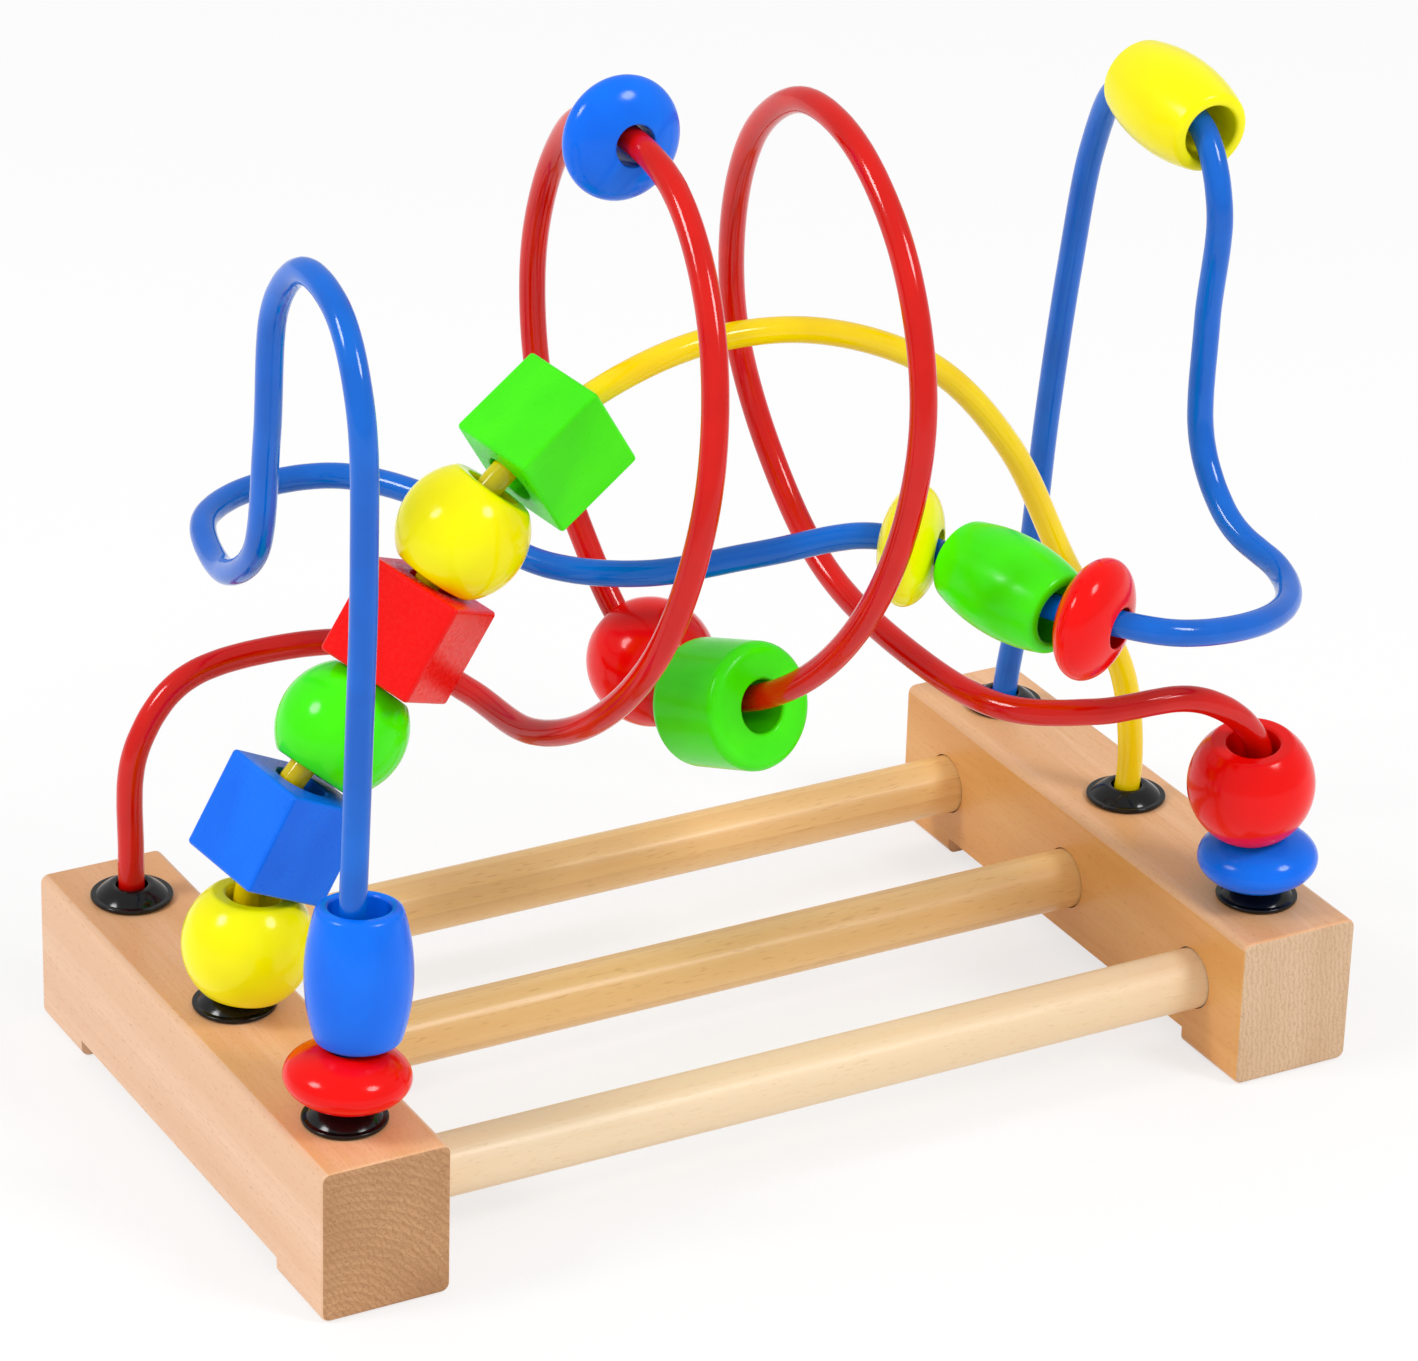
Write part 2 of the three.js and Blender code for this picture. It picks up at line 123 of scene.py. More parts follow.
def addNoise(tree, place, scale=1.0, detail=2.0, rough=0.5, distortion=0.0):
    noise = addNode(tree, "ShaderNodeTexNoise",
                    {"Scale": scale, "Detail": detail, "Roughness": rough, "Distortion": distortion})
    tree.links.new(place, noise.inputs["Vector"])
    return noise.outputs["Fac"]


def spread(tree, value, low, high, toLow=0.0, toHigh=1.0):
    # low..high of a pattern becomes toLow..toHigh
    node = addNode(tree, "ShaderNodeMapRange",
                   {"From Min": low, "From Max": high, "To Min": toLow, "To Max": toHigh})
    tree.links.new(value, node.inputs["Value"])
    return node.outputs["Result"]


def blendTones(tree, amount, first, second):
    node = addNode(tree, "ShaderNodeMix", data_type="RGBA")
    # a colour mix has its share at 0 and its two colours at 6 and 7
    for place, value in ((0, amount), (6, first), (7, second)):
        socket = node.inputs[place]
        if isinstance(value, bpy.types.NodeSocket):
            tree.links.new(value, socket)
        else:
            socket.default_value = value
    return node.outputs[2]


def addBump(tree, shader, height, strength, depth, below=None):
    node = addNode(tree, "ShaderNodeBump", {"Strength": strength, "Distance": depth * mm})
    tree.links.new(height, node.inputs["Height"])
    if below is not None:
        tree.links.new(below, node.inputs["Normal"])
    tree.links.new(node.outputs["Normal"], shader.inputs["Normal"])
    return node.outputs["Normal"]


# steps that the meshes are built from
weldReach = 1e-6
ringReach = 0.3 * mm
alignedWith = 0.99
flatFaceWeight = 80


def drawOutline(bm, corners):
    # a chain of edges in the XZ plane, one vertex pulled out of the one before
    chain = [bm.verts.new((corners[0][0], 0, corners[0][1]))]
    for across, up in corners[1:]:
        pulled = bmesh.ops.extrude_vert_indiv(bm, verts=[chain[-1]])["verts"][0]
        pulled.co = (across, 0, up)
        chain.append(pulled)
    return chain


def sweepArc(bm, vertex, centre, angle, steps):
    made = bmesh.ops.spin(bm, geom=[vertex], cent=(centre[0], 0, centre[1]), axis=(0, 1, 0),
                          angle=angle, steps=steps, use_duplicate=False)
    return [item for item in made["geom_last"] if isinstance(item, bmesh.types.BMVert)][0]


def spinRound(bm, steps):
    bmesh.ops.spin(bm, geom=bm.verts[:] + bm.edges[:], cent=(0, 0, 0), axis=(0, 0, 1),
                   angle=2 * math.pi, steps=steps, use_merge=True, use_duplicate=False)
    bmesh.ops.remove_doubles(bm, verts=bm.verts, dist=weldReach)
    bmesh.ops.recalc_face_normals(bm, faces=bm.faces)


def softenRings(bm, radius, offset, segments, sharper=25):
    # rounds the ring corners at this radius
    rings = []
    for edge in bm.edges:
        middle = (edge.verts[0].co + edge.verts[1].co) / 2
        if edge.is_manifold and edge.calc_face_angle(0) > math.radians(sharper):
            if abs(math.hypot(middle.x, middle.y) - radius) < ringReach:
                rings.append(edge)
    bmesh.ops.bevel(bm, geom=rings, offset=offset, offset_type="OFFSET", segments=segments,
                    profile=0.5, affect="EDGES", clamp_overlap=True, material=-1)


def makePiece(name, bm, body, nodes, materials, sharpAngle):
    bmesh.ops.remove_doubles(bm, verts=bm.verts, dist=weldReach)
    bmesh.ops.recalc_face_normals(bm, faces=bm.faces)
    mesh = bpy.data.meshes.new(name)
    bm.to_mesh(mesh)
    bm.free()
    for material in materials:
        mesh.materials.append(material)
    mesh.shade_smooth()
    mesh.set_sharp_from_angle(angle=math.radians(sharpAngle))
    piece = bpy.data.objects.new(name, mesh)
    scene.collection.objects.link(piece)
    flat = piece.modifiers.new("flatFaces", "WEIGHTED_NORMAL")
    flat.keep_sharp = True
    flat.weight = flatFaceWeight
    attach(piece, body)
    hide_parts(*nodes)
    return piece


def cutAway(bm, cutter):
    # takes the cutter's shape out of bm, by way of two short-lived objects
    meshes = [bpy.data.meshes.new("stock"), bpy.data.meshes.new("cutter")]
    solids = []
    for mesh, shape in zip(meshes, (bm, cutter)):
        bmesh.ops.recalc_face_normals(shape, faces=shape.faces)
        shape.to_mesh(mesh)
        shape.free()
        solid = bpy.data.objects.new(mesh.name, mesh)
        scene.collection.objects.link(solid)
        solids.append(solid)
    cut = solids[0].modifiers.new("cut", "BOOLEAN")
    cut.operation = "DIFFERENCE"
    cut.solver = "EXACT"
    cut.object = solids[1]
    bpy.context.view_layer.update()
    left = bpy.data.meshes.new_from_object(
        solids[0].evaluated_get(bpy.context.evaluated_depsgraph_get()))
    result = bmesh.new()
    result.from_mesh(left)
    for solid in solids:
        bpy.data.objects.remove(solid)
    for mesh in meshes + [left]:
        bpy.data.meshes.remove(mesh)
    return result


def addRod(bm, start, end, radius, sides):
    axis = end - start
    turn = Vector((0, 0, 1)).rotation_difference(axis).to_matrix().to_4x4()
    bmesh.ops.create_cone(bm, cap_ends=True, cap_tris=False, segments=sides, radius1=radius,
                          radius2=radius, depth=axis.length,
                          matrix=Matrix.Translation((start + end) / 2) @ turn)


def addBox(bm, low, high):
    made = bmesh.ops.create_cube(bm, size=1)["verts"]
    bmesh.ops.scale(bm, vec=high - low, verts=made)
    bmesh.ops.translate(bm, vec=(low + high) / 2, verts=made)


def edgesAlong(bm, axis):
    return [edge for edge in bm.edges
            if abs((edge.verts[0].co - edge.verts[1].co).normalized()[axis]) > alignedWith]


def middleOf(node):
    low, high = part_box(node)
    return (low + high) / 2


# wood, one look for each kind of face: patterns in 1/m, pith and ring pitch in millimetres
woodLook = {
    "leftSide": {
        "pale": tone(242, 202, 170), "deep": tone(232, 186, 148), "fleck": tone(206, 152, 112),
        "ring": tone(222, 172, 130), "ringPitch": 5.5, "pith": (-150, 0, -40), "ringShow": 0.14,
        "fibre": (1700, 60, 1700), "fibreShow": 0.8,
        "fleckSize": (2600, 520, 2600), "fleckShow": 0.5,
        "roughness": (0.36, 0.5), "bump": 0.35, "coat": 0.1,
    },
    # both block tops: the wood's own grain, in a tone more golden-orange than the sides, partly the
    # wood and partly painted reflection of the yellow beads
    "blockTopPaintedReflection": {
        "pale": tone(242, 192, 148), "deep": tone(232, 172, 118), "fleck": tone(204, 142, 92),
        "ring": tone(220, 160, 108), "ringPitch": 5.5, "pith": (-150, 0, -60), "ringShow": 0.2,
        "fibre": (1700, 60, 1700), "fibreShow": 0.75,
        "fleckSize": (2600, 520, 2600), "fleckShow": 0.45,
        "roughness": (0.32, 0.46), "bump": 0.28, "coat": 0.15,
    },
    "rightSide": {
        "pale": tone(240, 196, 154), "deep": tone(230, 176, 128), "fleck": tone(198, 140, 92),
        "ring": tone(216, 158, 108), "ringPitch": 6.5, "pith": (150, 0, 30), "ringShow": 0.22,
        "fibre": (1500, 50, 1500), "fibreShow": 0.45,
        "fleckSize": (2600, 520, 2600), "fleckShow": 0.3,
        "roughness": (0.34, 0.48), "bump": 0.2, "coat": 0.2,
    },
    # the right block's inner side: the same wood as its outer side, made more golden-orange, which is
    # painted bounce light from the beads and the other block
    "rightInnerBounceLight": {
        "pale": tone(236, 178, 108), "deep": tone(224, 158, 84), "fleck": tone(196, 130, 64),
        "ring": tone(212, 144, 72), "ringPitch": 6.5, "pith": (150, 0, 30), "ringShow": 0.3,
        "fibre": (1500, 50, 1500), "fibreShow": 0.45,
        "fleckSize": (2600, 520, 2600), "fleckShow": 0.3,
        "roughness": (0.34, 0.48), "bump": 0.2, "coat": 0.2,
    },
    "leftEnd": {
        "pale": tone(206, 158, 114), "deep": tone(186, 138, 96), "fleck": tone(160, 112, 74),
        "ring": tone(172, 124, 84), "ringPitch": 2.1, "pith": (-122, 0, -6), "ringShow": 0.5,
        "fibre": (1300, 1300, 1300), "fibreShow": 0.4,
        "fleckSize": (2000, 2000, 2000), "fleckShow": 0.7,
        "roughness": (0.55, 0.7), "bump": 0.5, "coat": 0.0, "sawTurn": 38, "sawShow": 0.4,
    },
    "rightEnd": {
        "pale": tone(226, 194, 160), "deep": tone(212, 176, 140), "fleck": tone(184, 144, 106),
        "ring": tone(202, 164, 126), "ringPitch": 1.7, "pith": (60, 0, 10), "ringShow": 0.16,
        "fibre": (2200, 2200, 500), "fibreShow": 0.6,
        "fleckSize": (2200, 2200, 1300), "fleckShow": 0.65,
        "roughness": (0.55, 0.7), "bump": 0.5, "coat": 0.0, "sawTurn": 4, "sawShow": 0.35,
    },
    "dowelPale": {
        "pale": tone(248, 226, 192), "deep": tone(240, 210, 168), "fleck": tone(222, 186, 140),
        "ring": tone(232, 198, 152), "ringPitch": 4.0, "pith": (0, 9, 4), "ringShow": 0.3,
        "fibre": (40, 1200, 1200), "fibreShow": 0.4,
        "fleckSize": (400, 2200, 2200), "fleckShow": 0.35,
        "roughness": (0.36, 0.5), "bump": 0.2, "coat": 0.15,
    },
    "dowelGold": {
        "pale": tone(252, 214, 154), "deep": tone(242, 194, 122), "fleck": tone(206, 152, 92),
        "ring": tone(222, 170, 108), "ringPitch": 4.0, "pith": (0, 40, -8), "ringShow": 0.35,
        "fibre": (40, 1200, 1200), "fibreShow": 0.4,
        "fleckSize": (260, 2200, 2200), "fleckShow": 0.35,
        "roughness": (0.32, 0.46), "bump": 0.2, "coat": 0.25,
    },
}


woodPattern = {
    "driftShare": 0.04, "ringScale": 314, "ringWaviness": 2.6, "ringRange": (0.2, 1.0),
    "fibreRange": (0.42, 0.72), "fleckRange": (0.62, 0.74),
    "sawScale": 260, "sawWaviness": 9, "sawRange": (0.5, 1.0),
    "fibreDepth": 0.06, "fleckDepth": 0.04, "coatRoughness": 0.22, "specular": 0.3,
}


def addWave(tree, mapping, sockets, **settings):
    # a wave over object coordinates, moved or turned by the mapping
    place = addNode(tree, "ShaderNodeMapping", mapping)
    tree.links.new(addNode(tree, "ShaderNodeTexCoord").outputs["Object"], place.inputs["Vector"])
    wave = addNode(tree, "ShaderNodeTexWave", sockets, **settings)
    tree.links.new(place.outputs["Vector"], wave.inputs["Vector"])
    return wave.outputs["Fac"]


def makeWood(name, look):
    material, tree, shader = startMaterial(name)

    def lay(colour, pattern, reach, show, over):
        return blendTones(tree, spread(tree, pattern, *reach, 0, show), colour, over)

    broad = [step * woodPattern["driftShare"] for step in look["fibre"]]
    drift = addNoise(tree, patternPlace(tree, None, broad), 1.0, 3)
    fibre = addNoise(tree, patternPlace(tree, None, look["fibre"]), 1.0, 4, 0.6, 0.3)
    fleck = addNoise(tree, patternPlace(tree, None, look["fleckSize"]), 1.0, 1, 0.4)
    # growth rings: a ring wave about the pith, bent by a slow noise
    rings = addWave(tree, {"Location": [-part * mm for part in look["pith"]]},
                    {"Scale": woodPattern["ringScale"] / look["ringPitch"],
                     "Distortion": woodPattern["ringWaviness"],
                     "Detail": 2, "Detail Scale": 0.05, "Detail Roughness": 0.6},
                    wave_type="RINGS", rings_direction="X" if name.startswith("dowel") else "Y",
                    wave_profile="SAW")
    colour = blendTones(tree, spread(tree, drift, *midRange), look["pale"], look["deep"])
    colour = lay(colour, rings, woodPattern["ringRange"], look["ringShow"], look["ring"])
    colour = lay(colour, fibre, woodPattern["fibreRange"], look["fibreShow"], look["deep"])
    colour = lay(colour, fleck, woodPattern["fleckRange"], look["fleckShow"], look["fleck"])
    if "sawShow" in look:
        # the fine slanting marks that the saw left on an end
        marks = addWave(tree, {"Rotation": (0, math.radians(look["sawTurn"]), 0)},
                        {"Scale": woodPattern["sawScale"], "Distortion": woodPattern["sawWaviness"],
                         "Detail": 3, "Detail Scale": 1.5, "Detail Roughness": 0.7},
                        wave_type="BANDS", bands_direction="X")
        colour = lay(colour, marks, woodPattern["sawRange"], look["sawShow"], look["fleck"])
    tree.links.new(colour, shader.inputs["Base Color"])
    tree.links.new(spread(tree, fibre, *wideRange, *look["roughness"]), shader.inputs["Roughness"])
    grain = addBump(tree, shader, fibre, look["bump"], woodPattern["fibreDepth"])
    addBump(tree, shader, fleck, look["bump"], woodPattern["fleckDepth"], grain)
    shader.inputs["Coat Weight"].default_value = look["coat"]
    shader.inputs["Coat Roughness"].default_value = woodPattern["coatRoughness"]
    shader.inputs["Specular IOR Level"].default_value = woodPattern["specular"]
    return material


wood = {name: makeWood(name + "Wood", look) for name, look in woodLook.items()}


# end blocks, millimetres
blockShape = {
    "longRound": 2.0, "endRound": 1.1, "footLength": 22.0, "notchHeight": 4.0, "socketSlack": 0.3,
    "stemHole": 5.9, "stemDepth": 6.3, "wireHole": 3.45, "wireDepth": 15.3, "cutPast": 10.0,
    "sides": 64, "sharpAngle": 30,
}


def makeBlock(name, shape):
    low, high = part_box(name)
    bm = bmesh.new()
    addBox(bm, low, high)
    bmesh.ops.bevel(bm, geom=edgesAlong(bm, 1), offset=shape["longRound"] * mm, segments=6,
                    profile=0.5, affect="EDGES", material=-1)
    # woods of the faces: 0 far side, 1 ends, 2 side at low x, 3 top
    ends = [face for face in bm.faces if abs(face.normal.y) > alignedWith]
    for face in ends:
        face.material_index = 1
    for face in bm.faces:
        if face.normal.x < -alignedWith:
            face.material_index = 2
        if face.normal.z > alignedWith:
            face.material_index = 3
    rims = list({edge for face in ends for edge in face.edges})
    bmesh.ops.bevel(bm, geom=rims, offset=shape["endRound"] * mm, segments=4,
                    profile=0.5, affect="EDGES", material=-1)
    cutter = bmesh.new()
    slack = shape["socketSlack"] * mm
    foot = shape["footLength"] * mm
    past = shape["cutPast"] * mm
    addBox(cutter, Vector((low.x - past, low.y + foot, low.z - past)),
           Vector((high.x + past, high.y - foot, low.z + shape["notchHeight"] * mm)))
    for dowel in ("dowel_near", "dowel_mid", "dowel_far"):
        rodLow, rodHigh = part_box(dowel)
        middle = (rodLow + rodHigh) / 2
        radius = (rodHigh.z - rodLow.z) / 2 + slack
        left = Vector((rodLow.x - slack, middle.y, middle.z))
        right = Vector((rodHigh.x + slack, middle.y, middle.z))
        if name == "left_block":
            right.x = high.x + past
        else:
            left.x = middle.x
        addRod(cutter, left, right, radius, shape["sides"])
    bm = cutAway(bm, cutter)
    side = name.split("_")[0]
    top = high.z + past
    stemFloor, wireFloor = high.z - shape["stemDepth"] * mm, high.z - shape["wireDepth"] * mm
    stemHole, wireHole = shape["stemHole"] * mm, shape["wireHole"] * mm
    for row in ("near", "mid", "far"):
        drill = bmesh.new()
        drawOutline(drill, [(0, wireFloor), (wireHole, wireFloor), (wireHole, stemFloor),
                            (stemHole, stemFloor), (stemHole, top), (0, top)])
        spinRound(drill, shape["sides"])
        centre = middleOf("grommet_" + side + "_" + row)
        bmesh.ops.translate(drill, vec=(centre.x, centre.y, 0), verts=drill.verts)
        bm = cutAway(bm, drill)
    # both tops take the wood with partly painted reflection
    # on the right block the side at low x takes the wood copy with painted bounce light
    grain = [wood[side + "Side"], wood[side + "End"],
             wood["rightInnerBounceLight" if side == "right" else "leftSide"], wood["blockTopPaintedReflection"]]
    return makePiece(name + "_wood", bm, "base", [name], grain, shape["sharpAngle"])


makeBlock("left_block", blockShape)
makeBlock("right_block", blockShape)
print("end blocks made")


# dowels, millimetres
dowelShape = {"chamfer": 0.8, "sides": 96, "sharpAngle": 30}


def makeDowel(name, shape, grain):
    low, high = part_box(name)
    middle = (low + high) / 2
    radius = (high.z - low.z) / 2
    half = (high.x - low.x) / 2
    chamfer = shape["chamfer"] * mm
    bm = bmesh.new()
    drawOutline(bm, [(0, -half), (radius - chamfer, -half), (radius, chamfer - half),
                     (radius, half - chamfer), (radius - chamfer, half), (0, half)])
    spinRound(bm, shape["sides"])
    lying = Matrix.Rotation(math.pi / 2, 3, "Y")
    bmesh.ops.rotate(bm, cent=(0, 0, 0), matrix=lying, verts=bm.verts)
    bmesh.ops.translate(bm, vec=middle, verts=bm.verts)
    return makePiece(name + "_rod", bm, "base", [name], [grain], shape["sharpAngle"])


makeDowel("dowel_near", dowelShape, wood["dowelPale"])
makeDowel("dowel_mid", dowelShape, wood["dowelGold"])
makeDowel("dowel_far", dowelShape, wood["dowelGold"])
print("dowels made")


# black caps where the wires enter the blocks, millimetres
capLook = {
    "black": tone(12, 12, 13), "dust": tone(60, 58, 56), "dustShow": 0.1,
    "roughness": (0.1, 0.2), "cloud": 240, "speck": 1900, "bump": 0.06, "bumpDepth": 0.1,
    "specular": 0.35,
}
capShape = {
    "stemRadius": 5.6, "stemLength": 6.0, "radius": 9.1, "rimHeight": 0.9, "domeFoot": 7.9,
    "height": 3.2, "mouthRadius": 4.8, "bore": 3.45, "rimRound": 0.3, "mouthRound": 0.5,
    "domeSteps": 12, "sides": 96, "sharpAngle": 35,
}


def makeCapPlastic(look):
    material, tree, shader = startMaterial("blackPlastic")
    cloud = addNoise(tree, patternPlace(tree, None, [look["cloud"]] * 3), 1.0, 5, 0.6)
    speck = addNoise(tree, patternPlace(tree, None, [look["speck"]] * 3), 1.0, 1)
    dusty = addNode(tree, "ShaderNodeMath", operation="MULTIPLY")
    tree.links.new(spread(tree, cloud, 0.45, 0.75, 0, look["dustShow"]), dusty.inputs[0])
    tree.links.new(spread(tree, speck, 0.5, 0.68, 0.15, 1), dusty.inputs[1])
    tree.links.new(blendTones(tree, dusty.outputs[0], look["black"], look["dust"]),
                   shader.inputs["Base Color"])
    tree.links.new(spread(tree, cloud, 0.35, 0.7, *look["roughness"]), shader.inputs["Roughness"])
    addBump(tree, shader, cloud, look["bump"], look["bumpDepth"])
    shader.inputs["Specular IOR Level"].default_value = look["specular"]
    return material


capPlastic = makeCapPlastic(capLook)


def makeCap(name, shape):
    low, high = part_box(name)
    seatHeight = high.z - shape["height"] * mm
    bm = bmesh.new()
    chain = drawOutline(bm, [(across * mm, up * mm) for across, up in (
        (shape["bore"], -shape["stemLength"]),
        (shape["stemRadius"], -shape["stemLength"]),
        (shape["stemRadius"], 0),
        (shape["radius"], 0),
        (shape["radius"], shape["rimHeight"]),
        (shape["domeFoot"], shape["rimHeight"]),
    )])
    # the dome is an arc about a point on the axis, up to the mouth
    foot, mouth = shape["domeFoot"] * mm, shape["mouthRadius"] * mm
    base, top = shape["rimHeight"] * mm, shape["height"] * mm
    axisHeight = (mouth ** 2 + top ** 2 - foot ** 2 - base ** 2) / (2 * (top - base))
    sweep = math.atan2(top - axisHeight, mouth) - math.atan2(base - axisHeight, foot)
    last = sweepArc(bm, chain[-1], (0, axisHeight), -sweep, shape["domeSteps"])
    bore = bmesh.ops.extrude_vert_indiv(bm, verts=[last])["verts"][0]
    bore.co = (shape["bore"] * mm, 0, top)
    bm.edges.new((bore, chain[0]))
    spinRound(bm, shape["sides"])
    softenRings(bm, shape["radius"] * mm, shape["rimRound"] * mm, 3, 50)
    softenRings(bm, shape["bore"] * mm, shape["mouthRound"] * mm, 4, 60)
    centre = (low + high) / 2
    bmesh.ops.translate(bm, vec=(centre.x, centre.y, seatHeight), verts=bm.verts)
    return makePiece(name + "_cap", bm, "base", [name], [capPlastic],
                     shape["sharpAngle"])


for side in ("left", "right"):
    for row in ("near", "mid", "far"):
        makeCap("grommet_" + side + "_" + row, capShape)
print("caps made")


# wires: colours, the coating that they share, and the tube's fineness
wireLook = {
    "wire_red": {"tone": tone(218, 16, 2), "shade": tone(206, 10, 0)},
    "wire_blue": {"tone": tone(0, 106, 214), "shade": tone(0, 96, 200)},
    "wire_yellow": {"tone": tone(255, 224, 0), "shade": tone(250, 212, 0)},
}
wireCoat = {
    "drift": 70, "driftBump": 0.12, "driftDepth": 0.2, "peel": 520, "peelBump": 0.06,
    "peelDepth": 0.02, "roughness": (0.09, 0.14), "specular": 0.38,
}
wireShape = {"packedCorners": 8, "roundness": 10, "smoothness": 5, "sharpAngle": 40}


def makeWireCoat(name, look, coat):
    material, tree, shader = startMaterial(name + "_coat")
    drift = addNoise(tree, patternPlace(tree, None, [coat["drift"]] * 3), 1.0, 3)
    peel = addNoise(tree, patternPlace(tree, None, [coat["peel"]] * 3), 1.0, 2)
    tree.links.new(blendTones(tree, spread(tree, drift, *midRange), look["tone"], look["shade"]),
                   shader.inputs["Base Color"])
    tree.links.new(spread(tree, peel, *wideRange, *coat["roughness"]), shader.inputs["Roughness"])
    wavy = addBump(tree, shader, drift, coat["driftBump"], coat["driftDepth"])
    addBump(tree, shader, peel, coat["peelBump"], coat["peelDepth"], wavy)
    shader.inputs["Specular IOR Level"].default_value = coat["specular"]
    return material


def wireMiddle(node, corners):
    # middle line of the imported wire: the mean of each of its rings, from one end to the other
    bm = bmesh.new()
    bm.from_mesh(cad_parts[node].data)
    bmesh.ops.remove_doubles(bm, verts=bm.verts, dist=weldReach)
    bm.verts.ensure_lookup_table()
    ends = sorted((v for v in bm.verts if v.co.x < 0), key=lambda v: v.co.z)
    ring = ends[:corners]
    seen = set(ring)
    middles = []
    while ring:
        middles.append(sum((v.co for v in ring), Vector()) / len(ring))
        beyond = {edge.other_vert(v) for v in ring for edge in v.link_edges} - seen
        ring = sorted(beyond, key=lambda v: v.index)
        seen |= beyond
    radius = (ends[0].co - middles[0]).length
    bm.free()
    return middles, radius


def makeWire(name, shape, look):
    middles, radius = wireMiddle(name, shape["packedCorners"])
    path = bpy.data.curves.new(name + "_path", "CURVE")
    path.dimensions = "3D"
    path.bevel_depth = radius
    path.bevel_resolution = shape["roundness"]
    path.resolution_u = shape["smoothness"]
    path.use_fill_caps = True
    path.twist_mode = "MINIMUM"
    spline = path.splines.new("BEZIER")
    spline.bezier_points.add(len(middles) - 1)
    for point, spot in zip(spline.bezier_points, middles):
        point.co = spot
        point.handle_left_type = "AUTO"
        point.handle_right_type = "AUTO"
    tube = bpy.data.objects.new(name + "_tube", path)
    scene.collection.objects.link(tube)
    bpy.context.view_layer.update()
    mesh = bpy.data.meshes.new_from_object(
        tube.evaluated_get(bpy.context.evaluated_depsgraph_get()))
    bpy.data.objects.remove(tube)
    bpy.data.curves.remove(path)
    bm = bmesh.new()
    bm.from_mesh(mesh)
    bpy.data.meshes.remove(mesh)
    return makePiece(name + "_rod", bm, "base", [name], [makeWireCoat(name, look, wireCoat)],
                     shape["sharpAngle"])


for wire, look in wireLook.items():
    makeWire(wire, wireShape, look)
print("wires made")


# beads: paint, finish, and shape by kind in millimetres
paintLook = {
    "red": {"tone": tone(248, 6, 2), "shade": tone(240, 4, 0)},
    "blue": {"tone": tone(4, 116, 248), "shade": tone(2, 106, 238)},
    "yellow": {"tone": tone(255, 250, 0), "shade": tone(252, 242, 0)},
    "green": {"tone": tone(74, 250, 0), "shade": tone(66, 240, 0)},
}
finishLook = {
    "gloss": {"roughness": (0.12, 0.18), "grain": 0.06, "peel": 0.05},
    "satin": {"roughness": (0.18, 0.27), "grain": 0.14, "peel": 0.3},
    "cube": {"roughness": (0.26, 0.38), "grain": 0.22, "peel": 0.25},
    "rough": {"roughness": (0.18, 0.36), "grain": 0.6, "peel": 0.9},
}
paintPattern = {
    "drift": (70, 70, 40), "grain": (560, 560, 70), "peel": (950, 950, 950),
    "grainDepth": 0.08, "peelDepth": 0.05, "specular": 0.24,
}
beadColours = {
    "yellow_ball_low": ("yellow", "gloss"), "blue_cube": ("blue", "cube"),
    "green_ball": ("green", "gloss"), "red_cube": ("red", "rough"),
    "yellow_ball_high": ("yellow", "gloss"), "green_cube": ("green", "cube"),
    "red_disc_left": ("red", "gloss"), "blue_barrel": ("blue", "satin"),
    "yellow_disc": ("yellow", "gloss"), "green_barrel": ("green", "satin"),
    "red_disc_right": ("red", "gloss"), "yellow_barrel": ("yellow", "satin"),
    "blue_disc_top": ("blue", "gloss"), "red_ball_middle": ("red", "gloss"),
    "green_drum": ("green", "satin"), "red_ball_right": ("red", "gloss"),
    "blue_disc_right": ("blue", "gloss"),
}
beadShape = {
    "sides": 96, "sharpAngle": 32,
    "ball": {"bore": 5.8, "radius": 14.15, "faceRadius": 8.9, "half": 11.3, "steps": 32,
             "mouth": 0.9, "rim": 0.5},
    "disc": {"bore": 4.5, "radius": 13.4, "faceRadius": 4.9, "half": 6.3, "steps": 36,
             "mouth": 0.35, "rim": 0},
    "barrel": {"bore": 6.4, "radius": 11.3, "faceRadius": 8.85, "half": 15.0, "steps": 20,
               "mouth": 0.8, "rim": 1.2},
    "drum": {"bore": 5.8, "radius": 14.1, "faceRadius": 14.1, "half": 10.9, "mouth": 0.8, "rim": 2.7},
    "cube": {"bore": 5.8, "edge": 22.7, "round": 0.95, "mouth": 0.5, "boreSides": 72},
}
squareEnough = 0.02


def makePaint(name, paint, finish, pattern, seat):
    material, tree, shader = startMaterial(name)
    drift = addNoise(tree, patternPlace(tree, seat, pattern["drift"]), 1.0, 3)
    grain = addNoise(tree, patternPlace(tree, seat, pattern["grain"]), 1.0, 3, 0.6)
    peel = addNoise(tree, patternPlace(tree, seat, pattern["peel"]), 1.0, 2)
    tree.links.new(blendTones(tree, spread(tree, drift, *midRange), paint["tone"], paint["shade"]),
                   shader.inputs["Base Color"])
    tree.links.new(spread(tree, peel, *wideRange, *finish["roughness"]), shader.inputs["Roughness"])
    below = addBump(tree, shader, grain, finish["grain"], pattern["grainDepth"])
    addBump(tree, shader, peel, finish["peel"], pattern["peelDepth"], below)
    shader.inputs["Specular IOR Level"].default_value = pattern["specular"]
    return material


